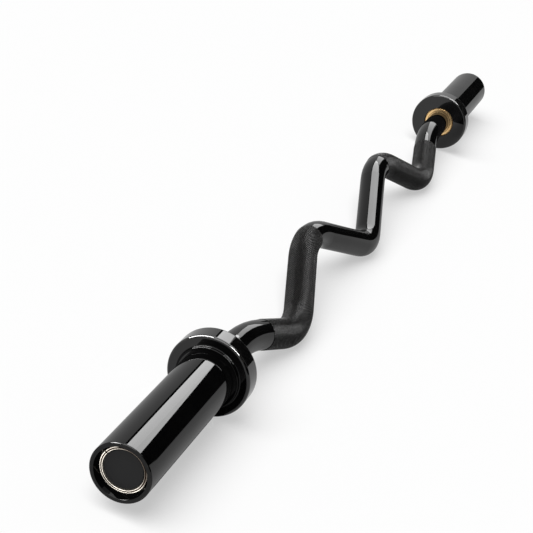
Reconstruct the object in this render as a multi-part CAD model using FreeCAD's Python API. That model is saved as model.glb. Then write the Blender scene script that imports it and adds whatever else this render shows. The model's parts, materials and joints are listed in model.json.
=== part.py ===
import FreeCAD, Part
import math
import os

from FreeCAD import Vector

# A curl bar: one bent steel shaft, with a free-spinning sleeve on each end.
# X runs along the bar, Z is up and Y = 0 is the vertical plane through the sleeve axis.
# The origin lies on the floor under the middle of the bar. All lengths are in millimetres.

# Whole bar
overall_length = 1200.0
shaft_diameter = 28.0
journal_diameter = 25.0

# Zigzag of the shaft, as corner points of its centre line before the bends round them.
# Each corner's place is a share of the way from the middle of the bar to the shaft's shoulder.
high_bend_share = 0.32
low_bend_share = 0.60
shoulder_bend_share = 0.83
low_bend_drop = 38.0
high_bend_rise = 29.0
shoulder_bend_radius = 150.0
low_bend_radius = 62.0
high_bend_radius = 70.0
centre_bend_radius = 40.0

# Sleeve tube
sleeve_diameter = 50.0
loading_length = 170.0
sleeve_bore_diameter = 36.0
spigot_diameter = 48.0
bearing_seat_diameter = 38.0
sleeve_end_rounding = 1.2
mouth_chamfer = 2.6
mouth_land = 0.4
mouth_rounding = 0.5

# Collar
collar_diameter = 74.0
collar_width = 20.0
collar_lip_width = 5.0
collar_rounding = 2.5
hub_diameter = 56.0
hub_width = 3.0
hub_rounding = 1.0
collar_mouth_chamfer = 0.6

# Bushings and the washers that take the end load
bushing_length = 40.0
bushing_chamfer = 0.8
washer_thickness = 2.0
washer_chamfer = 0.5
washer_recess = 0.5
outer_washer_diameter = 32.0

# Rings on the journal
snap_ring_thickness = 1.75
snap_ring_diameter = 31.0
snap_ring_gap = 8.0
snap_groove_depth = 1.2
shaft_end_land = 3.0
shaft_end_chamfer = 1.0
seal_section = 2.5
seal_setback = 8.0

# Cap and retaining ring in the sleeve's mouth
end_ring_recess = 5.5
end_ring_thickness = 2.0
end_ring_inner_diameter = 33.6
end_ring_gap = 1.2
end_ring_gap_turn_degrees = -62.0
end_ring_rounding = 0.3
end_ring_channel_depth = 0.7
end_ring_channel_shares = (0.24, 0.45)
end_groove_depth = 1.2
cap_thickness = 3.0
cap_skirt_wall = 1.8
cap_end_room = 2.0
end_plate_diameter = 32.0
end_plate_thickness = 1.2
end_plate_rounding = 0.5

# Clearances
running_clearance = 0.05
seat_clearance = 0.02
thrust_clearance = 0.1
washer_clearance = 0.4
cap_clearance = 0.1
cut_overrun = 5.0

# Sizes that follow from those
shaft_radius = shaft_diameter / 2
journal_radius = journal_diameter / 2
sleeve_radius = sleeve_diameter / 2
spigot_radius = spigot_diameter / 2
seat_radius = bearing_seat_diameter / 2
collar_radius = collar_diameter / 2
axis_height = collar_radius
bushing_radius = seat_radius - seat_clearance
bushing_bore_radius = journal_radius + running_clearance

# Stations of the sleeve and collar. A station is a distance from the middle of the bar.
end_station = overall_length / 2
collar_face_station = end_station - loading_length
collar_inner_station = collar_face_station - collar_width
tube_inner_station = collar_inner_station + collar_lip_width
hub_station = collar_face_station + hub_width

# Stations of the pieces inside the collar, from the shaft's shoulder outwards
shoulder_station = collar_inner_station + washer_recess
inner_washer_station = shoulder_station + washer_thickness
inner_bushing_station = inner_washer_station + thrust_clearance
inner_seat_station = inner_bushing_station + bushing_length
seal_station = inner_bushing_station + seal_setback

# Stations of the zigzag's corners, from the shaft's shoulder inwards
shoulder_bend_station = shoulder_bend_share * shoulder_station
low_bend_station = low_bend_share * shoulder_station
high_bend_station = high_bend_share * shoulder_station

# Stations of the pieces at the sleeve's mouth, from the end inwards
end_ring_station = end_station - end_ring_recess
cap_station = end_ring_station - end_ring_thickness
cap_inner_station = cap_station - cap_thickness
shaft_end_station = cap_inner_station - cap_end_room
snap_ring_station = shaft_end_station - shaft_end_land
outer_washer_station = snap_ring_station - snap_ring_thickness
outer_bushing_station = outer_washer_station - washer_thickness - thrust_clearance
outer_seat_station = outer_bushing_station - bushing_length


def corner(station, offset, rounding=0):
    """A corner of a flat outline, with the radius that rounds it."""
    return (Vector(station, 0, offset), rounding)


def outline_edges(corners, closed):
    """Straight runs joined by tangent arcs, through corners given with their radii."""
    count = len(corners)
    entries = []
    exits = []
    arcs = []
    for index, (point, radius) in enumerate(corners):
        if radius == 0:
            entries.append(point)
            exits.append(point)
            arcs.append(None)
            continue
        back = (corners[index - 1][0] - point).normalize()
        ahead = (corners[(index + 1) % count][0] - point).normalize()
        half_turn = (math.pi - back.getAngle(ahead)) / 2
        setback = radius * math.tan(half_turn)
        inset = radius / math.cos(half_turn) - radius
        bisector = (back + ahead).normalize()
        entry = point + back * setback
        leave = point + ahead * setback
        entries.append(entry)
        exits.append(leave)
        arcs.append(Part.Arc(entry, point + bisector * inset, leave).toShape())

    edges = []
    for index in range(count):
        if arcs[index]:
            edges.append(arcs[index])
        if index + 1 < count or closed:
            following = entries[(index + 1) % count]
            edges.append(Part.LineSegment(exits[index], following).toShape())
    return edges


def turned(corners):
    """A solid of revolution about the sleeve axis, from corners of (station, radius)."""
    face = Part.Face(Part.Wire(outline_edges(corners, closed=True)))
    solid = face.revolve(Vector(0, 0, 0), Vector(1, 0, 0), 360)
    solid.translate(Vector(0, 0, axis_height))
    return solid


def plain_ring(inner_station, outer_station, inner_radius, outer_radius):
    """A flat ring with square edges."""
    return turned([
        corner(inner_station, inner_radius),
        corner(inner_station, outer_radius),
        corner(outer_station, outer_radius),
        corner(outer_station, inner_radius),
    ])


def split(solid, gap, inner_station, thickness, reach, turn_degrees=0):
    """Cuts a gap through a ring, so that it can spring open or shut, at an angle from its top."""
    length = thickness + 2 * cut_overrun
    start = Vector(inner_station - cut_overrun, -gap / 2, axis_height)
    cutter = Part.makeBox(length, gap, reach + cut_overrun, start)
    cutter.rotate(Vector(0, 0, axis_height), Vector(1, 0, 0), turn_degrees)
    return solid.cut(cutter)


def low_bend_depth():
    """How far the centre line dips below the axis at the low bends, once they are rounded."""
    run_out = math.atan2(low_bend_drop, shoulder_bend_station - low_bend_station)
    long_run = math.atan2(low_bend_drop + high_bend_rise, low_bend_station - high_bend_station)
    half_turn = (run_out + long_run) / 2
    lean = (long_run - run_out) / 2
    return low_bend_drop + low_bend_radius - low_bend_radius * math.cos(lean) / math.cos(half_turn)


def centre_bend_drop(depth):
    """The corner that brings the centre bend down to the same depth as the low bends."""
    centre_rise = high_bend_rise + depth - centre_bend_radius
    reach = math.hypot(high_bend_station, centre_rise)
    slope = math.atan2(centre_rise, high_bend_station) + math.asin(centre_bend_radius / reach)
    return high_bend_station * math.tan(slope) - high_bend_rise


def zigzag_tilt(depth):
    """The angle at which the hanging zigzag meets the floor, or straight down if it can't reach."""
    return math.asin(min(1, (axis_height - shaft_radius) / depth))


def zigzag_path():
    """The shaft's centre line between the two shoulders, lying in the tilted plane."""
    depth = low_bend_depth()
    half = [
        corner(shoulder_station, 0),
        corner(shoulder_bend_station, 0, shoulder_bend_radius),
        corner(low_bend_station, -low_bend_drop, low_bend_radius),
        corner(high_bend_station, high_bend_rise, high_bend_radius),
    ]
    mirrored = [corner(-point.x, point.z, radius) for point, radius in half]
    centre = [corner(0, -centre_bend_drop(depth), centre_bend_radius)]
    path = Part.Wire(outline_edges(mirrored + centre + half[::-1], closed=False))
    lean_back = zigzag_tilt(depth) - math.pi / 2
    path.rotate(Vector(0, 0, 0), Vector(1, 0, 0), math.degrees(lean_back))
    path.translate(Vector(0, 0, axis_height))
    return path


def make_journal():
    """The turned end of the shaft, with grooves for the seal and the snap ring."""
    seal_half = seal_section / 2 + seat_clearance
    seal_floor = journal_radius - seal_section - seat_clearance
    snap_floor = journal_radius - snap_groove_depth
    snap_inner = outer_washer_station - seat_clearance
    snap_outer = snap_ring_station + seat_clearance
    return turned([
        corner(shoulder_station, 0),
        corner(shoulder_station, journal_radius),
        corner(seal_station - seal_half, journal_radius),
        corner(seal_station - seal_half, seal_floor),
        corner(seal_station + seal_half, seal_floor),
        corner(seal_station + seal_half, journal_radius),
        corner(snap_inner, journal_radius),
        corner(snap_inner, snap_floor),
        corner(snap_outer, snap_floor),
        corner(snap_outer, journal_radius),
        corner(shaft_end_station - shaft_end_chamfer, journal_radius),
        corner(shaft_end_station, journal_radius - shaft_end_chamfer),
        corner(shaft_end_station, 0),
    ])


def make_shaft():
    """One bent bar: the zigzag that the hands hold, and a journal at each end."""
    path = zigzag_path()
    start = Vector(-shoulder_station, 0, axis_height)
    section = Part.Wire(Part.makeCircle(shaft_radius, start, Vector(1, 0, 0)))
    bent_bar = path.makePipeShell([section], True, False)
    journal = make_journal()
    return bent_bar.fuse([journal, mirror_image(journal)]).removeSplitter()


def make_sleeve_tube():
    """The tube that the plates slide on, with a spigot for the collar and a tapered mouth."""
    mouth_radius = seat_radius + mouth_chamfer
    groove_radius = seat_radius + end_groove_depth
    return turned([
        corner(tube_inner_station, seat_radius),
        corner(tube_inner_station, spigot_radius),
        corner(hub_station, spigot_radius),
        corner(hub_station, sleeve_radius),
        corner(end_station, sleeve_radius, sleeve_end_rounding),
        corner(end_station, mouth_radius, mouth_rounding),
        corner(end_ring_station + mouth_land, seat_radius),
        corner(end_ring_station + seat_clearance, seat_radius),
        corner(end_ring_station + seat_clearance, groove_radius),
        corner(cap_station - seat_clearance, groove_radius),
        corner(cap_station - seat_clearance, seat_radius),
        corner(outer_seat_station, seat_radius),
        corner(outer_seat_station, sleeve_bore_diameter / 2),
        corner(inner_seat_station, sleeve_bore_diameter / 2),
        corner(inner_seat_station, seat_radius),
    ])


def make_collar():
    """The flange that stops the plates, with the tube's spigot seated in its stepped bore."""
    hub_radius = hub_diameter / 2
    spigot_seat = spigot_radius + seat_clearance
    return turned([
        corner(collar_inner_station + collar_mouth_chamfer, seat_radius),
        corner(collar_inner_station, seat_radius + collar_mouth_chamfer),
        corner(collar_inner_station, collar_radius, collar_rounding),
        corner(collar_face_station, collar_radius, collar_rounding),
        corner(collar_face_station, hub_radius, hub_rounding),
        corner(hub_station, hub_radius, hub_rounding),
        corner(hub_station, spigot_seat),
        corner(tube_inner_station, spigot_seat),
        corner(tube_inner_station, seat_radius),
    ])


def make_bushing(inner_station):
    """A bronze bushing, pressed into its seat and running on the journal."""
    outer_station = inner_station + bushing_length
    bore_mouth = bushing_bore_radius + bushing_chamfer
    return turned([
        corner(inner_station, bore_mouth),
        corner(inner_station, bushing_radius),
        corner(outer_station, bushing_radius),
        corner(outer_station, bore_mouth),
        corner(outer_station - bushing_chamfer, bushing_bore_radius),
        corner(inner_station + bushing_chamfer, bushing_bore_radius),
    ])


def make_inner_washer():
    """The bronze ring seen in the collar's mouth, between the shaft's shoulder and the bushing."""
    outer_radius = seat_radius - washer_clearance
    return turned([
        corner(shoulder_station, bushing_bore_radius),
        corner(shoulder_station, outer_radius - washer_chamfer),
        corner(shoulder_station + washer_chamfer, outer_radius),
        corner(inner_washer_station, outer_radius),
        corner(inner_washer_station, bushing_bore_radius),
    ])


def make_seal_ring():
    """A rubber ring in the journal's first groove, which keeps the grease in."""
    ring_radius = journal_radius - seal_section / 2
    centre = Vector(seal_station, 0, axis_height)
    return Part.makeTorus(ring_radius, seal_section / 2, centre, Vector(1, 0, 0))


def make_outer_washer():
    """The steel washer between the outer bushing and the snap ring."""
    inner_station = outer_washer_station - washer_thickness
    outer_radius = outer_washer_diameter / 2
    return plain_ring(inner_station, outer_washer_station, bushing_bore_radius, outer_radius)


def make_snap_ring():
    """The split steel ring in the journal's end groove, which keeps the sleeve on."""
    inner_radius = journal_radius - snap_groove_depth + seat_clearance
    outer_radius = snap_ring_diameter / 2
    whole = plain_ring(outer_washer_station, snap_ring_station, inner_radius, outer_radius)
    return split(whole, snap_ring_gap, outer_washer_station, snap_ring_thickness, outer_radius)


def make_end_cap():
    """A shallow cup in the mouth, whose skirt stands on the outer bushing."""
    cap_radius = seat_radius - cap_clearance
    skirt_radius = cap_radius - cap_skirt_wall
    return turned([
        corner(cap_station, 0),
        corner(cap_station, cap_radius),
        corner(outer_bushing_station, cap_radius),
        corner(outer_bushing_station, skirt_radius),
        corner(cap_inner_station, skirt_radius),
        corner(cap_inner_station, 0),
    ])


def make_end_plate():
    """The bare disc bonded to the cap, seen inside the retaining ring."""
    plate_radius = end_plate_diameter / 2
    plate_station = cap_station + end_plate_thickness
    return turned([
        corner(cap_station, 0),
        corner(cap_station, plate_radius),
        corner(plate_station, plate_radius, end_plate_rounding),
        corner(plate_station, 0),
    ])


def make_end_ring():
    """The bright split ring sprung into the mouth's groove, with a channel turned in its face."""
    inner_radius = end_ring_inner_diameter / 2
    outer_radius = seat_radius + end_groove_depth - seat_clearance
    ring_width = outer_radius - inner_radius
    channel_inner, channel_outer = [inner_radius + ring_width * share for share in end_ring_channel_shares]
    channel_station = end_ring_station - end_ring_channel_depth
    rounding = min(end_ring_rounding, (channel_inner - inner_radius) / 3)
    whole = turned([
        corner(cap_station, inner_radius),
        corner(cap_station, outer_radius),
        corner(end_ring_station, outer_radius),
        corner(end_ring_station, channel_outer, rounding),
        corner(channel_station, channel_outer),
        corner(channel_station, channel_inner),
        corner(end_ring_station, channel_inner, rounding),
        corner(end_ring_station, inner_radius, rounding),
    ])
    return split(
        whole, end_ring_gap, cap_station, end_ring_thickness, outer_radius, end_ring_gap_turn_degrees
    )


def mirror_image(solid):
    """The same piece on the other end of the bar."""
    return solid.mirror(Vector(0, 0, 0), Vector(1, 0, 0))


def write_node(name, shape):
    """Writes one named piece and says how big it is."""
    shape.exportStep(os.path.join("parts", name + ".step"))
    print(name, "solids", len(shape.Solids), "valid", shape.isValid(), "volume", round(shape.Volume, 1))


os.makedirs("parts", exist_ok=True)
write_node("shaft", make_shaft())

sleeve_pieces = {
    "collar": make_collar(),
    "sleeve_tube": make_sleeve_tube(),
    "inner_washer": make_inner_washer(),
    "inner_bushing": make_bushing(inner_bushing_station),
    "seal_ring": make_seal_ring(),
    "outer_bushing": make_bushing(outer_seat_station),
    "outer_washer": make_outer_washer(),
    "snap_ring": make_snap_ring(),
    "end_cap": make_end_cap(),
    "end_plate": make_end_plate(),
    "end_ring": make_end_ring(),
}
for piece_name, piece in sleeve_pieces.items():
    write_node("right_" + piece_name, piece)
    write_node("left_" + piece_name, mirror_image(piece))
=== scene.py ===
# %% [markdown]
# # A curl bar, dressed
# The imported model gives every rigid piece of the bar at its real size: the bent shaft, the two
# sleeves that spin on its ends, and the bushings, washers and rings inside them. This lesson keeps
# those pieces as they are and adds what a drawing leaves out: the finish of each surface and the
# cut knurling on the grips. We load the model first.

# %% Load the bar
import functools
import json
import math
from collections import namedtuple

import bmesh
import bpy
import numpy as np
from mathutils import Matrix, Vector

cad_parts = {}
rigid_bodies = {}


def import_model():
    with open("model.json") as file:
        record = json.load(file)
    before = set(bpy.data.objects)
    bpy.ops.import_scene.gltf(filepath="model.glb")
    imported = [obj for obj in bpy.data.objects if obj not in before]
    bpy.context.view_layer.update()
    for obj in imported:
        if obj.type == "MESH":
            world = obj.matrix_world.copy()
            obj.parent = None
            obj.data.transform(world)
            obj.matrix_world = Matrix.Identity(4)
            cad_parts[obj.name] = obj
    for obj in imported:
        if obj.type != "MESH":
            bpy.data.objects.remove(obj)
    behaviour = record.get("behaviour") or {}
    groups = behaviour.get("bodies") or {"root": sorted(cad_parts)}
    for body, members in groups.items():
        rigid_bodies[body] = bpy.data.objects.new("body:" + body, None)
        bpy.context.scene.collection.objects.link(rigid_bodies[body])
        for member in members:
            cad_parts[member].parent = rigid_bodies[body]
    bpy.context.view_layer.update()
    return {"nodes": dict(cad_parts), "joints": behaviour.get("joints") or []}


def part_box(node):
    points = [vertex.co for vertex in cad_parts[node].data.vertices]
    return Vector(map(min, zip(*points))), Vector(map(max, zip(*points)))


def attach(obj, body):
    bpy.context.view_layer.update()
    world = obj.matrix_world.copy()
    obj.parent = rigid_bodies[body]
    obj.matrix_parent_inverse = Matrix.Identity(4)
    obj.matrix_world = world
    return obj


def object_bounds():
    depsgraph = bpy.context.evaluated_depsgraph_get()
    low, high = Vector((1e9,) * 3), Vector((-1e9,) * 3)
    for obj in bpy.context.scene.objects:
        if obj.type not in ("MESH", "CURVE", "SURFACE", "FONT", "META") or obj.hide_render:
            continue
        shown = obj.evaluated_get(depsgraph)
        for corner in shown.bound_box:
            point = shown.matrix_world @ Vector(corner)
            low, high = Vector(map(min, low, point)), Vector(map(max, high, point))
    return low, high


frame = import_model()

MILLIMETRE = 0.001
SIDES = {"left": -1, "right": 1}
nodes = frame["nodes"]

# %% [markdown]
# ## The camera
# The picture was taken from beyond the left sleeve, looking down along the bar, with the camera
# rolled so that the bar crosses the frame from corner to corner. A camera in Blender looks along
# its own -Z, and so does a lamp. Three angles would place it too, but a place and a target are
# easier to think in, so one helper turns those and a roll into a matrix. A small shift moves the
# frame sideways without turning the camera, which keeps the perspective.

# %% Place the camera
PICTURE_WIDTH_PIXELS = 533
SENSOR_WIDTH_MM = 36.0
focal_length_pixels = 1414.3
camera_place = (-1.4096, -0.2471, 0.6334)
camera_target = (-0.1227, 0.0410, 0.0)
camera_roll = math.radians(16.57)
camera_shift = (-0.0132, 0.0067)


def aimed(place, target, roll=0.0):
    """The matrix of a camera or lamp that looks from a place at a target, rolled about that line."""
    aim = (Vector(target) - Vector(place)).to_track_quat("-Z", "Y").to_matrix()
    return Matrix.Translation(place) @ (aim @ Matrix.Rotation(roll, 3, "Z")).to_4x4()


def new_object(name, data):
    """An object in the scene, from its mesh, lamp or camera."""
    thing = bpy.data.objects.new(name, data)
    bpy.context.scene.collection.objects.link(thing)
    return thing


camera_data = bpy.data.cameras.new("camera")
camera_data.sensor_width = SENSOR_WIDTH_MM
camera_data.lens = focal_length_pixels / PICTURE_WIDTH_PIXELS * SENSOR_WIDTH_MM
camera_data.shift_x, camera_data.shift_y = camera_shift
camera = new_object("camera", camera_data)
camera.matrix_world = aimed(camera_place, camera_target, camera_roll)
bpy.context.scene.camera = camera
bpy.context.scene.view_settings.view_transform = "Standard"
print("lens", round(camera_data.lens, 1), "mm")

# %% [markdown]
# ## Writing shader maths as sums
# A finish is a tree of nodes. Placing Math nodes one by one is slow to read, so this small class
# wraps a socket: adding, subtracting or multiplying two of them adds the Math node. Any other node
# comes from its one method, which takes the node's type, its settings and its sockets.

# %% A socket that can be used in sums
class Wire:
    """One output socket in a node tree."""

    def __init__(self, tree, socket):
        self.tree = tree
        self.socket = socket

    @classmethod
    def node(cls, tree, kind, settings=None, sockets=None, output=0):
        """Adds a node: its settings first, then the values or links of its sockets."""
        made = tree.nodes.new(kind)
        for name, value in (settings or {}).items():
            setattr(made, name, value)
        for name, value in (sockets or {}).items():
            if isinstance(value, cls):
                tree.links.new(value.socket, made.inputs[name])
            else:
                made.inputs[name].default_value = value
        return cls(tree, made.outputs[output]) if made.outputs else None

    def calc(self, operation, *values):
        """A Math node on one or two values."""
        return Wire.node(self.tree, "ShaderNodeMath", {"operation": operation}, dict(enumerate(values)))

    def __add__(self, other):
        return self.calc("ADD", self, other)

    def __radd__(self, other):
        return self.calc("ADD", other, self)

    def __sub__(self, other):
        return self.calc("SUBTRACT", self, other)

    def __rsub__(self, other):
        return self.calc("SUBTRACT", other, self)

    def __mul__(self, other):
        return self.calc("MULTIPLY", self, other)

    def __rmul__(self, other):
        return self.calc("MULTIPLY", other, self)

    def __pow__(self, power):
        return self.calc("POWER", self, power)

    def __abs__(self):
        return self.calc("ABSOLUTE", self)

    def sine(self):
        """The sine of an angle in radians."""
        return self.calc("SINE", self)

    def at_most(self, limit):
        """The value, or the limit where that is smaller."""
        return self.calc("MINIMUM", self, limit)

    def lifted(self, least):
        """A mask that runs from a least share to 1, where it ran from 0 to 1."""
        return least + (1 - least) * self

    def ramp(self, low, high):
        """0 up to low, 1 from high on, and a smooth rise between."""
        limits = {"Value": self, "From Min": low, "From Max": high}
        return Wire.node(self.tree, "ShaderNodeMapRange", {"interpolation_type": "SMOOTHSTEP"}, limits)

    def within(self, low, high, edge):
        """1 between low and high, and 0 from an edge's width outside them."""
        return self.ramp(low - edge, low) * (1 - self.ramp(high, high + edge))


print("a wire can be added, subtracted, multiplied, raised to a power and ramped")

# %% [markdown]
# ## Helpers for finishes
# Each finish starts as an empty material and ends in one shader. Wear is never even, so between the
# two come soft noise and blotches cut from it, with colours mixed from two others and bumps of a
# real depth. An image could give all that, but it would have to be wrapped round every piece and
# would blur close up. Noise measured in metres fits any piece and stays sharp.

# %% Start, mix, cloud, raise and end a finish
# A Mix node has sockets of its own for numbers, vectors and colours. These are the ones for colours.
MIX_FACTOR = 0
MIX_FIRST = 6
MIX_SECOND = 7
MIX_RESULT = 2


def new_finish(name):
    """An empty material, and a function that adds nodes to it."""
    material = bpy.data.materials.new(name)
    material.use_nodes = True
    material.node_tree.nodes.clear()
    return material, functools.partial(Wire.node, material.node_tree)


def surface(add, **sockets):
    """Ends a finish with its shader. A socket's name is written with _ for a space."""
    named = {name.replace("_", " "): value for name, value in sockets.items()}
    shader = add("ShaderNodeBsdfPrincipled", None, named)
    add("ShaderNodeOutputMaterial", None, {"Surface": shader})


def tinted(add, amount, first, second):
    """A colour between two others, each of them three numbers or a wire."""
    ends = [colour if isinstance(colour, Wire) else (*colour, 1) for colour in (first, second)]
    sockets = {MIX_FACTOR: amount, MIX_FIRST: ends[0], MIX_SECOND: ends[1]}
    return add("ShaderNodeMix", {"data_type": "RGBA"}, sockets, output=MIX_RESULT)


def cloudy(add, place, size, detail=3):
    """Soft noise with blotches of about a given size, in metres."""
    return add("ShaderNodeTexNoise", None, {"Vector": place, "Scale": 1 / size, "Detail": detail})


def blotches(add, place, size, start, full, detail=3):
    """The peaks of soft noise: 0 where it is below start, and 1 where it is above full."""
    return cloudy(add, place, size, detail).ramp(start, full)


def raised(add, height, depth, strength=1.0):
    """A bumped normal from a height of 0 to 1, as deep as a real length in metres."""
    return add("ShaderNodeBump", None, {"Height": height, "Distance": depth, "Strength": strength})


print("shader helpers are ready")

# %% [markdown]
# ## Where a point lies on the bar
# Every sleeve piece is turned about one axis, so two numbers place a point on it: how far along
# the axis it is and how far out from it. Fine turning marks, rubbed rims and dull zones all follow
# those two. The object's own coordinates give both, and they stay on the piece when it spins.

# %% Coordinates for turned pieces
axis_height = frame["joints"][0]["pos_m"][2]


def turned_place(add):
    """The point itself, its distance along the sleeve axis and its radius about that axis."""
    place = add("ShaderNodeTexCoord", output="Object")
    along, aside, up = (add("ShaderNodeSeparateXYZ", None, {0: place}, output=axis) for axis in "XYZ")
    above = up - axis_height
    return place, along, (aside * aside + above * above) ** 0.5


print("sleeve axis", axis_height, "m above the floor")

# %% [markdown]
# ## The black gloss coat
# The shaft, the sleeves and the collars have a smooth, black gloss coat. A coat like that has almost
# no colour of its own: what we see in it is the studio, reflected at a few percent. Painting those
# reflections on would freeze them, so the base is close to black and the shader's clear coat does
# the rest. Its life is in how strong the gloss is: less where there is haze from handling, where
# fine scuffs run along the sleeves, and where a rim is rubbed thin, and most where no hand reaches.

# %% The coat and its wear
COAT_BLACK = (0.0008, 0.0008, 0.0009)
COAT_HAZE = (0.0022, 0.0022, 0.0023)
RUBBED_COAT = (0.030, 0.028, 0.026)
LACQUER = {"Coat_Roughness": 0.03, "Coat_IOR": 1.52, "Specular_IOR_Level": 0.0}
HAZE = {"size": 45 * MILLIMETRE, "start": 0.42, "full": 0.72}
SCUFFS = {"size": 0.9 * MILLIMETRE, "start": 0.60, "full": 0.78, "detail": 2}
SCUFFED_PATCHES = {"size": 30 * MILLIMETRE, "start": 0.50, "full": 0.66}
RUBBED_PATCHES = {"size": 6 * MILLIMETRE, "start": 0.45, "full": 0.70}
PEEL_SIZE = 4 * MILLIMETRE
PEEL_DEPTH = 0.004 * MILLIMETRE
ZONE_EDGE = 0.3 * MILLIMETRE
FRESH_ROUGHNESS = 0.3
WEAR_ROUGHNESS = 0.2
HAZE_LOSS = 0.03
SCUFF_LOSS = 0.08
RUB_LOSS = 0.10
UNTOUCHED_GAIN = 0.15


def black_coat(name, gloss, scuff_stretch=(1, 1, 1), rim=None, dull_zone=None, untouched_stretch=None):
    """Gloss black, with haze and scuffs, and with the wear that a piece has.

    A rim is a radius and how far the rubbing reaches from it. A dull zone is two radii and the share
    of gloss left between them. An untouched stretch runs from one distance along the axis to another.
    """
    material, add = new_finish(name)
    place, along, radius = turned_place(add)
    haze = blotches(add, place, **HAZE)
    stretched = add("ShaderNodeVectorMath", {"operation": "MULTIPLY"}, {0: place, 1: scuff_stretch})
    scuffs = blotches(add, stretched, **SCUFFS) * blotches(add, place, **SCUFFED_PATCHES)
    colour = tinted(add, haze, COAT_BLACK, COAT_HAZE)
    roughness = FRESH_ROUGHNESS + WEAR_ROUGHNESS * haze
    gloss = gloss - HAZE_LOSS * haze - SCUFF_LOSS * scuffs
    if rim:
        rim_radius, reach = rim
        rubbed = (1 - abs(radius - rim_radius).ramp(0, reach)) * blotches(add, place, **RUBBED_PATCHES)
        colour = tinted(add, rubbed, colour, RUBBED_COAT)
        roughness = roughness + WEAR_ROUGHNESS * rubbed
        gloss = gloss - RUB_LOSS * rubbed
    untouched = abs(along).within(*untouched_stretch, ZONE_EDGE) if untouched_stretch else 0
    if dull_zone:
        inner, outer, share = dull_zone
        gloss = gloss * (1 - (1 - share) * radius.within(inner, outer, ZONE_EDGE) * (1 - untouched))
    if untouched_stretch:
        gloss = gloss + UNTOUCHED_GAIN * untouched
    peel = cloudy(add, place, PEEL_SIZE, detail=1)
    surface(
        add,
        Base_Color=colour,
        Roughness=roughness,
        Normal=raised(add, peel, PEEL_DEPTH),
        Coat_Weight=gloss,
        **LACQUER,
    )
    return material


print("a coat loses up to", round(HAZE_LOSS + SCUFF_LOSS + RUB_LOSS, 2), "of its gloss to wear")

# %% [markdown]
# ## Three coats
# The collars keep most of their gloss. The sleeves and the shaft are handled more, so theirs is
# weaker, and their scuffs are drawn out along the bar by squeezing the noise that way. The hub on
# each collar and the sleeve's mouth are duller than the rest. The inner face of a collar and the
# end of the shaft beside it are untouched.

# %% Coats for the sleeves, the collars and the shaft
WORN_GLOSS = 0.45
GOOD_GLOSS = 0.80
sleeve_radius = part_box("left_sleeve_tube")[1].y
collar_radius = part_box("left_collar")[1].y
collar_inner_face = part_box("right_collar")[0].x
mouth_zone = (0.0, 21.4 * MILLIMETRE)
mouth_gloss_share = 0.45
hub_zone = (26.6 * MILLIMETRE, 28.6 * MILLIMETRE)
hub_gloss_share = 0.22
rub_inset = 0.8 * MILLIMETRE
sleeve_rub_reach = 0.6 * MILLIMETRE
collar_rub_reach = 1.0 * MILLIMETRE
untouched_on_collar = (collar_inner_face - 1.0 * MILLIMETRE, collar_inner_face + 0.3 * MILLIMETRE)
untouched_on_shaft = (collar_inner_face - 6.0 * MILLIMETRE, collar_inner_face + 1.0 * MILLIMETRE)

sleeve_coat = black_coat(
    "black_sleeve_coat",
    WORN_GLOSS,
    scuff_stretch=(0.02, 1, 1),
    rim=(sleeve_radius - rub_inset, sleeve_rub_reach),
    dull_zone=(*mouth_zone, mouth_gloss_share),
)
collar_coat = black_coat(
    "black_collar_coat",
    GOOD_GLOSS,
    rim=(collar_radius - rub_inset, collar_rub_reach),
    dull_zone=(*hub_zone, hub_gloss_share),
    untouched_stretch=untouched_on_collar,
)
shaft_coat = black_coat(
    "black_shaft_coat",
    WORN_GLOSS,
    scuff_stretch=(0.3, 1, 1),
    untouched_stretch=untouched_on_shaft,
)
print("sleeves", round(2 * sleeve_radius, 4), "m and collars", round(2 * collar_radius, 4), "m across")

# %% [markdown]
# ## Bronze and steel
# The bushings and thrust rings are bronze, turned on a lathe, and the outer washers and snap rings
# are oiled spring steel. A lathe leaves fine rings about the axis, so a sine of the radius and of
# the distance along the axis draws them, with a little noise so that they wander. A thin dark line
# on the bronze round the shaft is painted shade, where the shaft goes into the bronze.

# %% Lathe-turned metals
# A dark brown for painted shade: a line on the bronze round the shaft, and the end ring beside its
# beads.
PAINTED_SHADE_BROWN = (0.030, 0.016, 0.008)
PAINTED_SHADE_COVER = 0.6
WANDER_SIZE = 3 * MILLIMETRE
WANDER_RADIANS = 0.6
TARNISH_SIZE = 7 * MILLIMETRE
TARNISH_ROUGHNESS = 0.10
MARK_DEPTH = 0.006 * MILLIMETRE
MARK_STRENGTH = 0.6
MARK_TINT = 0.25


def turned_metal(name, dull, bright, roughness, groove, painted_shade_radii=None):
    """A turned metal with grooves of a given width, and with painted shade between two radii if given.
    """
    material, add = new_finish(name)
    place, along, radius = turned_place(add)
    wander = WANDER_RADIANS * cloudy(add, place, WANDER_SIZE, detail=2)
    phase = (radius + along) * (2 * math.pi / groove) + wander
    marks = 0.5 + 0.5 * phase.sine()
    patch = cloudy(add, place, TARNISH_SIZE, detail=4)
    colour = tinted(add, (1 - MARK_TINT) * patch + MARK_TINT * marks, dull, bright)
    # Painted shade: a dark band between two radii, where the shaft goes into the bronze.
    if painted_shade_radii:
        colour = tinted(add, PAINTED_SHADE_COVER * radius.within(*painted_shade_radii, ZONE_EDGE), colour, PAINTED_SHADE_BROWN)
    surface(
        add,
        Base_Color=colour,
        Metallic=1.0,
        Roughness=roughness + TARNISH_ROUGHNESS * patch,
        Normal=raised(add, marks, MARK_DEPTH, MARK_STRENGTH),
    )
    return material


bronze = turned_metal(
    "turned_bronze",
    dull=(0.80, 0.47, 0.18),
    bright=(1.0, 0.74, 0.40),
    roughness=0.22,
    groove=0.4 * MILLIMETRE,
    painted_shade_radii=(15.0 * MILLIMETRE, 15.7 * MILLIMETRE),
)
spring_steel = turned_metal(
    "oiled_spring_steel",
    dull=(0.28, 0.28, 0.29),
    bright=(0.48, 0.48, 0.49),
    roughness=0.30,
    groove=0.5 * MILLIMETRE,
)
print("made", bronze.name, "and", spring_steel.name)
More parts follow.
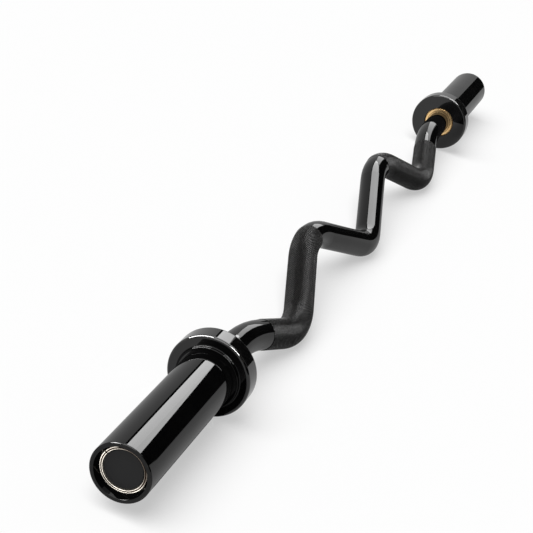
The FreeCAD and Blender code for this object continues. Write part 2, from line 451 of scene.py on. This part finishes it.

# %% [markdown]
# ## The ring in the sleeve's mouth
# A split ring holds the end cap in. It is polished, with a warm tint, on two narrow beads, whose
# bright colour is also a painted highlight on the ring's two edges. The rest of the ring is dark
# brown, painted shade in the channel between the beads and beside them. The beads are bands of
# radius on the drawn ring, which is simpler than new geometry about half a millimetre wide. One
# side of the ring is painted darker nearly all over, as painted shade. That side turns with the
# sleeve.

# %% A ring with two polished beads
# The bead colour is polish and a painted highlight; the rest of the ring takes the dark brown of
# painted shade.
RING_POLISH_AND_HIGHLIGHT = (1.0, 0.93, 0.82)
RING_METAL = 0.9
OILY_ROUGHNESS = 0.42
POLISH_SMOOTHS = 0.20
POLISHED_PATCHES = {"size": 9 * MILLIMETRE, "start": 0.35, "full": 0.70, "detail": 2}
BEAD_EDGE = 0.10 * MILLIMETRE
inner_bead = (16.50 * MILLIMETRE, 17.15 * MILLIMETRE)
outer_bead = (18.40 * MILLIMETRE, 18.95 * MILLIMETRE)
inner_least_share = 0.85
outer_least_share = 0.65
# How dark the shaded side of the ring gets, and the way towards its lit side: painted shade.
painted_shade_share = 0.12
lit_side_direction = (0.0, 0.7, -0.7)
painted_shade_fades = (-14 * MILLIMETRE, -2 * MILLIMETRE)


def beaded_ring(name):
    """Two polished beads with a painted highlight, and painted shade beside them and on one side of the
    ring.
    """
    material, add = new_finish(name)
    place, _, radius = turned_place(add)
    polish = blotches(add, place, **POLISHED_PATCHES)
    inner = radius.within(*inner_bead, BEAD_EDGE) * polish.lifted(inner_least_share)
    outer = radius.within(*outer_bead, BEAD_EDGE) * polish.lifted(outer_least_share)
    sockets = {0: place, 1: lit_side_direction}
    across = add("ShaderNodeVectorMath", {"operation": "DOT_PRODUCT"}, sockets, output="Value")
    # The ring's middle is on the sleeve axis, so the way towards its lit side starts there; the other
    # side gets painted shade.
    lit_side = (across - lit_side_direction[2] * axis_height).ramp(*painted_shade_fades)
    # Painted highlight on the beads, turned down to painted shade away from the lit side.
    bead_polish_and_highlight = (inner + outer) * lit_side.lifted(painted_shade_share)
    surface(
        add,
        Base_Color=tinted(add, bead_polish_and_highlight, PAINTED_SHADE_BROWN, RING_POLISH_AND_HIGHLIGHT),
        Metallic=RING_METAL,
        Roughness=OILY_ROUGHNESS - POLISH_SMOOTHS * bead_polish_and_highlight,
    )
    return material


bright_ring = beaded_ring("polished_warm_ring")
print("made", bright_ring.name)

# %% [markdown]
# ## Rubber and plastic
# A rubber ring seals the grease in, and a moulded cap with a bare satin disc closes each sleeve.
# All three are near black and differ in their sheen. A mould leaves a fine grain, so a shallow bump
# of fine noise breaks up the reflections, and larger noise keeps the black from being one flat tone.

# %% Moulded pieces
MOULDED_PATCH = 20 * MILLIMETRE
GRAIN_DEPTH = 0.02 * MILLIMETRE
GRAIN_STRENGTH = 0.5
GRAIN_ROUGHNESS = 0.12


def moulded(name, dark, light, roughness, grain, ior=1.42):
    """Moulded plastic or rubber, with a fine grain of a given size in metres."""
    material, add = new_finish(name)
    place = add("ShaderNodeTexCoord", output="Object")
    texture = cloudy(add, place, grain, detail=4)
    patch = cloudy(add, place, MOULDED_PATCH)
    surface(
        add,
        Base_Color=tinted(add, patch, dark, light),
        Roughness=roughness + GRAIN_ROUGHNESS * texture,
        Normal=raised(add, texture, GRAIN_DEPTH, GRAIN_STRENGTH),
        IOR=ior,
    )
    return material


seal_rubber = moulded(
    "seal_rubber",
    dark=(0.010, 0.010, 0.010),
    light=(0.022, 0.022, 0.022),
    roughness=0.55,
    grain=0.8 * MILLIMETRE,
)
cap_plastic = moulded(
    "cap_plastic",
    dark=(0.006, 0.006, 0.006),
    light=(0.014, 0.014, 0.014),
    roughness=0.40,
    grain=0.5 * MILLIMETRE,
)
plate_satin = moulded(
    "bare_satin_disc",
    dark=(0.004, 0.004, 0.0043),
    light=(0.008, 0.008, 0.0084),
    roughness=0.42,
    grain=0.3 * MILLIMETRE,
    ior=1.31,
)
print("made", seal_rubber.name + ",", cap_plastic.name, "and", plate_satin.name)

# %% [markdown]
# ## A finish for every piece
# Each drawn piece came with a plain material in its first slot. We put ours there instead. The two
# ends are mirror images, so one table names the finishes for both.

# %% Give the pieces their finishes
FINISHES = {
    "sleeve_tube": sleeve_coat,
    "collar": collar_coat,
    "inner_washer": bronze,
    "inner_bushing": bronze,
    "outer_bushing": bronze,
    "seal_ring": seal_rubber,
    "outer_washer": spring_steel,
    "snap_ring": spring_steel,
    "end_cap": cap_plastic,
    "end_plate": plate_satin,
    "end_ring": bright_ring,
}
nodes["shaft"].material_slots[0].material = shaft_coat
for side in SIDES:
    for piece, finish in FINISHES.items():
        nodes[f"{side}_{piece}"].material_slots[0].material = finish
used = {node.material_slots[0].material.name for node in nodes.values()}
print(len(used), "finishes on", len(nodes), "pieces")

# %% [markdown]
# ## A line of runs and arcs
# The grips are knurled, and knurling follows the bent bar, so we need the bar's centre line. A
# smooth curve through points would only come near it. The real bar is straight runs joined by arcs,
# so each of those is a piece with a length, a start, a direction and a curvature, and a place on it
# comes from a short formula. Corners say where the runs would meet and how round each bend is.

# %% Runs and arcs through corners
Corner = namedtuple("Corner", "x up radius")
Piece = namedtuple("Piece", "length start direction curvature")


def slope(start, end):
    """The direction from one corner to another, in radians above the axis."""
    return math.atan2(end.up - start.up, end.x - start.x)


def ahead(direction):
    """A step of length 1 in a direction."""
    return np.array((math.cos(direction), math.sin(direction)))


def bent_pieces(corners):
    """The runs and arcs that lead through a row of corners."""
    slopes = [slope(start, end) for start, end in zip(corners, corners[1:])]
    turns = [after - before for before, after in zip(slopes, slopes[1:])]
    cut_back = [corner.radius * math.tan(abs(turn) / 2) for corner, turn in zip(corners[1:], turns)]
    cut_back = [0.0, *cut_back, 0.0]
    pieces = []
    for index, direction in enumerate(slopes):
        start, end = corners[index], corners[index + 1]
        first = np.array((start.x, start.up)) + ahead(direction) * cut_back[index]
        length = math.dist(start[:2], end[:2]) - cut_back[index] - cut_back[index + 1]
        pieces.append(Piece(length, first, direction, 0.0))
        if index < len(turns):
            turn = turns[index]
            last = first + ahead(direction) * length
            curvature = math.copysign(1 / end.radius, turn)
            pieces.append(Piece(end.radius * abs(turn), last, direction, curvature))
    return pieces


def place_on(pieces, distance):
    """The point and the direction at a distance along the pieces."""
    for piece in pieces:
        if distance <= piece.length:
            break
        distance -= piece.length
    if piece.curvature == 0:
        return piece.start + distance * ahead(piece.direction), piece.direction
    turned = piece.direction + piece.curvature * distance
    step = (math.sin(turned) - math.sin(piece.direction), math.cos(piece.direction) - math.cos(turned))
    return piece.start + np.array(step) / piece.curvature, turned


print("a piece of the line has", ", ".join(Piece._fields))

# %% [markdown]
# ## The line that the shaft follows
# Between its shoulders the bar has two high bends and three low ones. It rests on the low ones as
# well as on its collars, so all three dip equally far. That gives the middle bend: its arc touches
# the same level, and its run is the tangent from the high bend's corner. The plane of the bends is
# then tilted until the low bends reach the floor.

# %% The centre line of this bar
shaft_radius = 0.014
centre_bend_radius = 0.040
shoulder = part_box("right_inner_washer")[0].x
high_bend_share = 0.32
low_bend_share = 0.60
shoulder_bend_share = 0.83
high_bend = Corner(x=high_bend_share * shoulder, up=0.029, radius=0.070)
low_bend = Corner(x=low_bend_share * shoulder, up=-0.038, radius=0.062)
shoulder_bend = Corner(x=shoulder_bend_share * shoulder, up=0.0, radius=0.150)


def bottom(corner, before, after):
    """How low a rounded corner dips, from the corner and its two neighbours."""
    falling = -slope(before, corner)
    rising = slope(corner, after)
    lean = math.cos((falling - rising) / 2) / math.cos((falling + rising) / 2)
    return corner.up + corner.radius * (lean - 1)


lowest = bottom(low_bend, high_bend, shoulder_bend)
centre_rise = high_bend.up - lowest - centre_bend_radius
centre_reach = math.hypot(high_bend.x, centre_rise)
centre_slope = math.atan2(centre_rise, high_bend.x) + math.asin(centre_bend_radius / centre_reach)
centre_up = high_bend.up - high_bend.x * math.tan(centre_slope)
centre_bend = Corner(x=0.0, up=centre_up, radius=centre_bend_radius)
shaft_end = Corner(x=shoulder, up=0.0, radius=0.0)
right_half = [high_bend, low_bend, shoulder_bend, shaft_end]
left_half = [corner._replace(x=-corner.x) for corner in reversed(right_half)]
centre_line = bent_pieces([*left_half, centre_bend, *right_half])
line_length = sum(piece.length for piece in centre_line)
tilt = math.asin((axis_height - shaft_radius) / -lowest)
print("the line is", round(line_length, 4), "m long, tilted", round(math.degrees(tilt), 1), "degrees")

# %% [markdown]
# ## Points on and around the bar
# A knurled band is wound round the line, so we want to name a point by how far it is from the
# middle of the bar, at which angle around it and at which radius. At each place the line has a
# side direction in the plane of the bends and another square to that plane, and the two span the
# bar's round section.

# %% A point by distance, angle and radius
tilted_up = np.array((0, math.cos(tilt), math.sin(tilt)))
tilted_out = np.array((0, -math.sin(tilt), math.cos(tilt)))


def bar_point(distance, angle, radius):
    """A point at a distance from the middle of the bar, an angle around it and a radius."""
    (x, up), direction = place_on(centre_line, line_length / 2 + distance)
    centre = np.array((x, 0, axis_height)) + up * tilted_up
    side = np.array((-math.sin(direction), 0, 0)) + math.cos(direction) * tilted_up
    return centre + radius * (math.cos(angle) * side + math.sin(angle) * tilted_out)


print("the middle of the bar is", round(bar_point(0, 0, 0)[2], 4), "m above the floor")

# %% [markdown]
# ## Knurled grips
# Knurling is cut by two wheels, which leave crossing grooves and a field of small blunt diamonds.
# A bump map would show it, but only as shading. Here each diamond is real: four sloping sides and
# a flat top. Diamonds lie on a chequered lattice of rows along the bar and columns around it. The
# band is a closed sleeve just proud of the shaft, with its inner wall hidden inside the steel.

# %% Knurl sizes
# The start and the end are distances from the middle of the bar, along its line.
knurl_start = 0.140
knurl_end = 0.340
diamond_length = 0.0026
diamonds_around = 44
knurl_foot = shaft_radius + 0.03 * MILLIMETRE
knurl_top = shaft_radius + 0.50 * MILLIMETRE
knurl_wall = shaft_radius - 0.40 * MILLIMETRE
top_share = 0.35
wall_step = 8
DIAMOND_CORNERS = ((-1, 0), (0, 1), (1, 0), (0, -1))

rows = 2 * round((knurl_end - knurl_start) / diamond_length)
columns = 2 * diamonds_around
print((rows - 1) * diamonds_around, "diamonds on each grip")

# %% [markdown]
# ## Building a band
# The band is made from lists of points and faces, because every point has a formula. Each point
# also keeps a height, 0 in the grooves and 1 on the tops, so that the finish can tell them apart.
# The lattice leaves half diamonds at both ends, which triangles fill, and the wall inside needs
# fewer rows, since it is hidden.

# %% Diamonds, ends and wall of a band
def knurl_band(name, sign):
    """One grip's knurling, as a closed band of blunt diamonds."""
    points = []
    heights = []
    faces = []
    foot_at = {}
    wall_at = {}

    def add_point(row, column, radius, height=0.0):
        distance = sign * (knurl_start + (knurl_end - knurl_start) * row / rows)
        points.append(bar_point(distance, 2 * math.pi * column / columns, radius))
        heights.append(height)
        return len(points) - 1

    def add_diamond(row, column):
        feet = [foot_at[row + i, (column + j) % columns] for i, j in DIAMOND_CORNERS]
        tops = [
            add_point(row + i * top_share, column + j * top_share, knurl_top, height=1.0)
            for i, j in DIAMOND_CORNERS
        ]
        for this, following in ((0, 1), (1, 2), (2, 3), (3, 0)):
            faces.append((feet[this], feet[following], tops[following], tops[this]))
        faces.append(tops)

    for row in range(rows + 1):
        for column in range(row % 2, columns, 2):
            foot_at[row, column] = add_point(row, column, knurl_foot)
    for row in range(1, rows):
        for column in range((row + 1) % 2, columns, 2):
            add_diamond(row, column)
    wall_rows = [*range(0, rows, wall_step), rows]
    for row in wall_rows:
        for column in range(0, columns, 2):
            wall_at[row, column] = add_point(row, column, knurl_wall)
    for column in range(0, columns, 2):
        beside = (column + 2) % columns
        for end, inside in ((0, 1), (rows, rows - 1)):
            edge = (foot_at[end, column], foot_at[end, beside])
            faces.append((*edge, foot_at[inside, column + 1]))
            faces.append((*edge, wall_at[end, beside], wall_at[end, column]))
        for row, following in zip(wall_rows, wall_rows[1:]):
            near = (wall_at[row, column], wall_at[row, beside])
            far = (wall_at[following, beside], wall_at[following, column])
            faces.append((*near, *far))

    mesh = bpy.data.meshes.new(name)
    mesh.from_pydata([tuple(point) for point in points], [], faces)
    mesh.attributes.new("knurl_height", "FLOAT", "POINT").data.foreach_set("value", heights)
    return new_object(name, mesh)


print("a band stands", round((knurl_top - shaft_radius) / MILLIMETRE, 2), "mm proud of the shaft")

# %% [markdown]
# ## Which way a face looks
# A face has a front, given by the order of its corners. We could watch that order in every list
# above, and turn it round for one of the two grips. It is simpler to let Blender make the faces of a
# closed mesh agree, and to measure the result: a positive volume and no open edges.

# %% Turn faces outwards
def face_outwards(piece):
    """Makes the faces of a closed mesh look out of it, and gives its volume and its open edges."""
    work = bmesh.new()
    work.from_mesh(piece.data)
    bmesh.ops.recalc_face_normals(work, faces=work.faces)
    volume = work.calc_volume(signed=True)
    open_edges = sum(not edge.is_manifold for edge in work.edges)
    work.to_mesh(piece.data)
    work.free()
    return volume, open_edges


print("faces can be turned outwards")

# %% [markdown]
# ## The finish on the knurling
# The same coat looks matt here, because every diamond turns the light another way. The tops are
# touched most, so they are glossier than the grooves, and the gloss is a soft one. A sharp one would
# sparkle, and the rows of diamonds would be lost in it. The tops are also paler and the grooves
# darker: partly polish and dust, partly a painted highlight on the tops and painted shade in the
# grooves. Fine noise makes the polish a little uneven, as hands do.

# %% Knurl finish and the two grips
# Groove and top colours: dust and polish, and also painted shade in the grooves and a painted highlight
# on the tops.
GROOVE_DUST_AND_SHADE = (0.001, 0.001, 0.001)
TOP_POLISH_AND_SHEEN = (0.012, 0.0115, 0.011)
SOFT_LACQUER = {**LACQUER, "Coat_Roughness": 0.29}
TOPS = {"low": 0.35, "high": 0.65}
HANDLED_PATCHES = {"size": 30 * MILLIMETRE, "start": 0.40, "full": 0.65}
POLISH_GRAIN = {"size": 1.9 * MILLIMETRE, "start": 0.36, "full": 0.64, "detail": 2}
SPECK_SIZE = 0.6 * MILLIMETRE
SPECK_DEPTH = 0.01 * MILLIMETRE
SPECK_STRENGTH = 0.4
GROOVE_ROUGHNESS = 0.5
TOUCH_SMOOTHS = 0.1
GROOVE_GLOSS = 0.02
TOP_GLOSS = 0.62
HANDLED_GLOSS = 0.08
least_polish_and_sheen_share = 0.52


def knurl_finish(name):
    """Black coat on the diamonds: matt grooves with painted shade, and unevenly polished tops with a
    painted highlight.
    """
    material, add = new_finish(name)
    place = add("ShaderNodeTexCoord", output="Object")
    top = add("ShaderNodeAttribute", {"attribute_name": "knurl_height"}, output="Fac").ramp(**TOPS)
    handled = blotches(add, place, **HANDLED_PATCHES)
    # Polish on the tops, which also paints a highlight there.
    polish_and_sheen = top * blotches(add, place, **POLISH_GRAIN).lifted(least_polish_and_sheen_share)
    speck = cloudy(add, place, SPECK_SIZE, detail=2)
    surface(
        add,
        Base_Color=tinted(add, polish_and_sheen, GROOVE_DUST_AND_SHADE, TOP_POLISH_AND_SHEEN),
        Roughness=GROOVE_ROUGHNESS - TOUCH_SMOOTHS * top,
        Normal=raised(add, speck, SPECK_DEPTH, SPECK_STRENGTH),
        Coat_Weight=GROOVE_GLOSS + TOP_GLOSS * polish_and_sheen + HANDLED_GLOSS * handled * top,
        **SOFT_LACQUER,
    )
    return material


knurl_coat = knurl_finish("black_knurl_coat")
grips = []
for side, sign in SIDES.items():
    grip = knurl_band(f"{side}_grip_knurl", sign)
    volume, open_edges = face_outwards(grip)
    grip.data.materials.append(knurl_coat)
    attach(grip, "bar")
    grips.append(grip.name)
    print(f"{grip.name}: {len(grip.data.polygons)} faces, {open_edges} open edges, {volume:.2e} m3")

# %% [markdown]
# ## The floor
# The bar lies on a wide white floor. In a white studio light comes back from all round, which keeps
# shadows pale. More lamps would do that too, but they would light the bar as well. Here the floor
# glows for the rays that end in the eye, straight or by way of the gloss, and is plain paint for
# the rest, so the glow lights nothing.

# %% Lay the floor
FLOOR_HALF = 40.0
FLOOR_WHITES = ((0.94, 0.94, 0.94), (0.95, 0.95, 0.95))
FLOOR_GLOW = (0.985, 0.985, 0.985, 1)
STUDIO_PATCH = 1.5
floor_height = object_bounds()[0].z
floor_glow_share = 0.5


def flat_piece(name, corners):
    """A four-cornered sheet of the studio."""
    mesh = bpy.data.meshes.new(name)
    mesh.from_pydata(corners, [], [(0, 1, 2, 3)])
    sheet = new_object(name, mesh)
    return sheet


def seen_directly(add):
    """1 for rays from the eye, straight or by way of a mirror or glass, and 0 for the rest."""
    kinds = ("Is Camera Ray", "Is Glossy Ray", "Is Transmission Ray")
    straight, mirrored, through = (add("ShaderNodeLightPath", output=kind) for kind in kinds)
    return (straight + mirrored + through).at_most(1)


def floor_paint(name):
    """White paint that keeps shadows pale, as a well lit studio does."""
    material, add = new_finish(name)
    patch = cloudy(add, add("ShaderNodeTexCoord", output="Object"), STUDIO_PATCH)
    paint = add("ShaderNodeBsdfDiffuse", None, {"Color": tinted(add, patch, *FLOOR_WHITES)})
    glow = add("ShaderNodeEmission", None, {"Color": FLOOR_GLOW, "Strength": 1.0})
    glowing = floor_glow_share * seen_directly(add)
    mixed = add("ShaderNodeMixShader", None, {0: glowing, 1: paint, 2: glow})
    add("ShaderNodeOutputMaterial", None, {"Surface": mixed})
    return material


around_floor = ((-1, -1), (1, -1), (1, 1), (-1, 1))
floor = flat_piece("floor", [(i * FLOOR_HALF, j * FLOOR_HALF, floor_height) for i, j in around_floor])
floor.data.materials.append(floor_paint("white_floor"))
print("floor at", round(floor_height / MILLIMETRE, 2), "mm")

# %% [markdown]
# ## Sun and sky
# A wide, soft sun shines from high up, on the camera's side and a little to its left, so the bar's
# shadow is short and falls away to the right. An area lamp would leave the floor brighter under it,
# but a sun has no distance and lights all of it alike. The sky is white where the eye sees it,
# straight or in the gloss, and dimmer as a light, so that the shadow stays.

# %% Sun and sky
SKY_WHITE = (1, 1, 1, 1)
sky_light = 0.15
sun_light = 3.22
sun_angle = math.radians(56)
sun_from = (-0.45, 0.30, 1.0)

sun_data = bpy.data.lights.new("soft_sun", "SUN")
sun_data.energy = sun_light
sun_data.angle = sun_angle
sun = new_object("soft_sun", sun_data)
sun.matrix_world = aimed(sun_from, (0.0, 0.0, 0.0))

world = bpy.data.worlds.new("white_room")
bpy.context.scene.world = world
world.use_nodes = True
world.node_tree.nodes.clear()
add_to_world = functools.partial(Wire.node, world.node_tree)
sky_strength = seen_directly(add_to_world).lifted(sky_light)
room = add_to_world("ShaderNodeBackground", None, {"Color": SKY_WHITE, "Strength": sky_strength})
add_to_world("ShaderNodeOutputWorld", None, {"Surface": room})
print("sun at", sun_light, "and sky at", sky_light)

# %% [markdown]
# ## Black cloth
# A black gloss surface is drawn by what stands round it. In a room that is white all over it would
# look grey, so a photographer hangs black cloth where the gloss should be deep black: beyond the far
# end and along the right side. A black card under the near sleeve is painted shadow: it stands for
# the dark floor under the sleeve, as the gloss mirrors it. The cloth and the card are there for
# reflections alone, so we hide them from the camera and from the floor.

# %% Hang the black cloth
CLOTH_BLACKS = ((0.002, 0.002, 0.002), (0.004, 0.004, 0.004))
CLOTH_ROUGHNESS = 0.85
CLOTH_UNEVENNESS = 0.1


def reflected_only(thing):
    """Leaves a lamp or a sheet to mirror-like rays."""
    thing.visible_camera = False
    thing.visible_diffuse = False
    thing.visible_shadow = False


def cloth_finish(name):
    """Cloth that gives back almost no light."""
    material, add = new_finish(name)
    patch = cloudy(add, add("ShaderNodeTexCoord", output="Object"), STUDIO_PATCH)
    surface(
        add,
        Base_Color=tinted(add, patch, *CLOTH_BLACKS),
        Roughness=CLOTH_ROUGHNESS + CLOTH_UNEVENNESS * patch,
    )
    return material


def dark_card(name, corners):
    """A sheet of black cloth that shows in reflections alone."""
    card = flat_piece(name, corners)
    card.data.materials.append(black_cloth)
    reflected_only(card)


def hung_cloth(name, first, last, low, high):
    """Black cloth upright over a line between two points of the floor, from one height to another."""
    dark_card(name, [(*first, low), (*last, low), (*last, high), (*first, high)])


black_cloth = cloth_finish("black_cloth")
hung_cloth("tall_black_cloth", first=(1.3, -1.45), last=(1.3, -0.16), low=0.15, high=1.8)
hung_cloth("low_black_cloth", first=(1.55, -0.55), last=(1.55, -0.08), low=0.03, high=0.46)
hung_cloth("side_black_cloth", first=(-2.5, -1.7), last=(1.3, -1.7), low=0.2, high=2.6)
# A card of painted shadow: the floor under the near sleeve, as the gloss mirrors it.
shadow_card_corners = [(-0.55, -0.024, 0.0), (-0.43, -0.024, 0.0), (-0.43, 0.03, 0.0), (-0.55, 0.03, 0.0)]
dark_card("shadow_card_under_sleeve", shadow_card_corners)

# %% [markdown]
# ## Lamps for single pieces
# The lights in the gloss are reflections of softboxes, which are large, soft, rectangular lamps.
# What draws a good line on one piece can leave a blot on another. A photographer would take several
# pictures and join them. In Blender, light linking does that in one: it keeps a lamp to the pieces
# that we name. A flag is a strip of black cloth that gives a softbox's reflection a clean edge.

# %% Softboxes and flags
def softbox(name, place, target, size, radiance, lit, roll=0.0):
    """A soft rectangular lamp for the pieces named, so many times as bright as the white sky."""
    lamp = bpy.data.lights.new(name, "AREA")
    lamp.shape = "RECTANGLE"
    lamp.size, lamp.size_y = size
    lamp.energy = radiance * math.pi * lamp.size * lamp.size_y
    box = new_object(name, lamp)
    box.matrix_world = aimed(place, target, roll)
    reflected_only(box)
    receivers = bpy.data.collections.new(f"lit_by_{name}")
    for piece in lit:
        receivers.objects.link(bpy.data.objects[piece])
    box.light_linking.receiver_collection = receivers
    return box


def flag_beside(box, width):
    """A black strip beside a softbox, in its plane, on the side of its own +X."""
    near = box.data.size / 2
    far = near + width
    half = box.data.size_y / 2
    corners = [(near, -half, 0), (far, -half, 0), (far, half, 0), (near, half, 0)]
    dark_card(f"{box.name}_flag", [box.matrix_world @ Vector(corner) for corner in corners])


print("a softbox lights only the pieces that it is given")

# %% [markdown]
# ## What the gloss reflects
# A large softbox over the far end lies along the bar as a pale strip, with a flag beside it. The
# near collar gets a twin of it at less than half its strength, or its rim would show a white patch.
# A lower softbox lights the shaft and its grips alone. The others draw thin lights on the collars'
# rims, in the near sleeve's mouth and on the ring there.

# %% Place the softboxes
over_far_end = {
    "place": (0.8175, 0.03, 1.3825),
    "target": (-0.4, 0.2, 0.04),
    "size": (1.4, 1.0),
    "roll": math.radians(-15),
}
all_but_near_collar = [name for name in [*nodes, *grips] if name != "left_collar"]
far_box = softbox("far_softbox", **over_far_end, radiance=12.0, lit=all_but_near_collar)
flag_beside(far_box, width=0.13)
softbox("collar_softbox", **over_far_end, radiance=5.4, lit=["left_collar"])
softbox(
    "low_softbox",
    place=(1.6, 0.16, 0.87),
    target=(-0.4, 0.1, 0.10),
    size=(0.62, 0.72),
    radiance=4.8,
    lit=["shaft", *grips],
)
softbox(
    "left_softbox",
    place=(-0.5, 1.3, 1.25),
    target=(-0.5, 0.0, 0.05),
    size=(0.45, 1.6),
    radiance=96.0,
    lit=["left_collar"],
)
softbox(
    "right_softbox",
    place=(-0.9, -0.9, 1.7),
    target=(-0.5, 0.0, 0.05),
    size=(0.45, 0.9),
    radiance=96.0,
    lit=["left_collar"],
)
softbox(
    "back_softbox",
    place=(-1.25, 1.28, 1.12),
    target=(-0.6, 0.0, 0.04),
    size=(1.1, 0.5),
    radiance=72.0,
    lit=["left_sleeve_tube"],
)
softbox(
    "ring_softbox",
    place=(-0.63, 0.03, 0.002),
    target=(-0.63, 0.03, 1.0),
    size=(0.10, 0.08),
    radiance=1.6,
    lit=["left_end_ring"],
)
softbox(
    "over_softbox",
    place=(-0.35, -0.5, 1.7),
    target=(-0.3, -0.5, 0.0),
    size=(1.0, 0.4),
    radiance=48.0,
    lit=["right_collar"],
)
print(sum(thing.type == "LIGHT" for thing in bpy.data.objects), "lamps, with the sun")
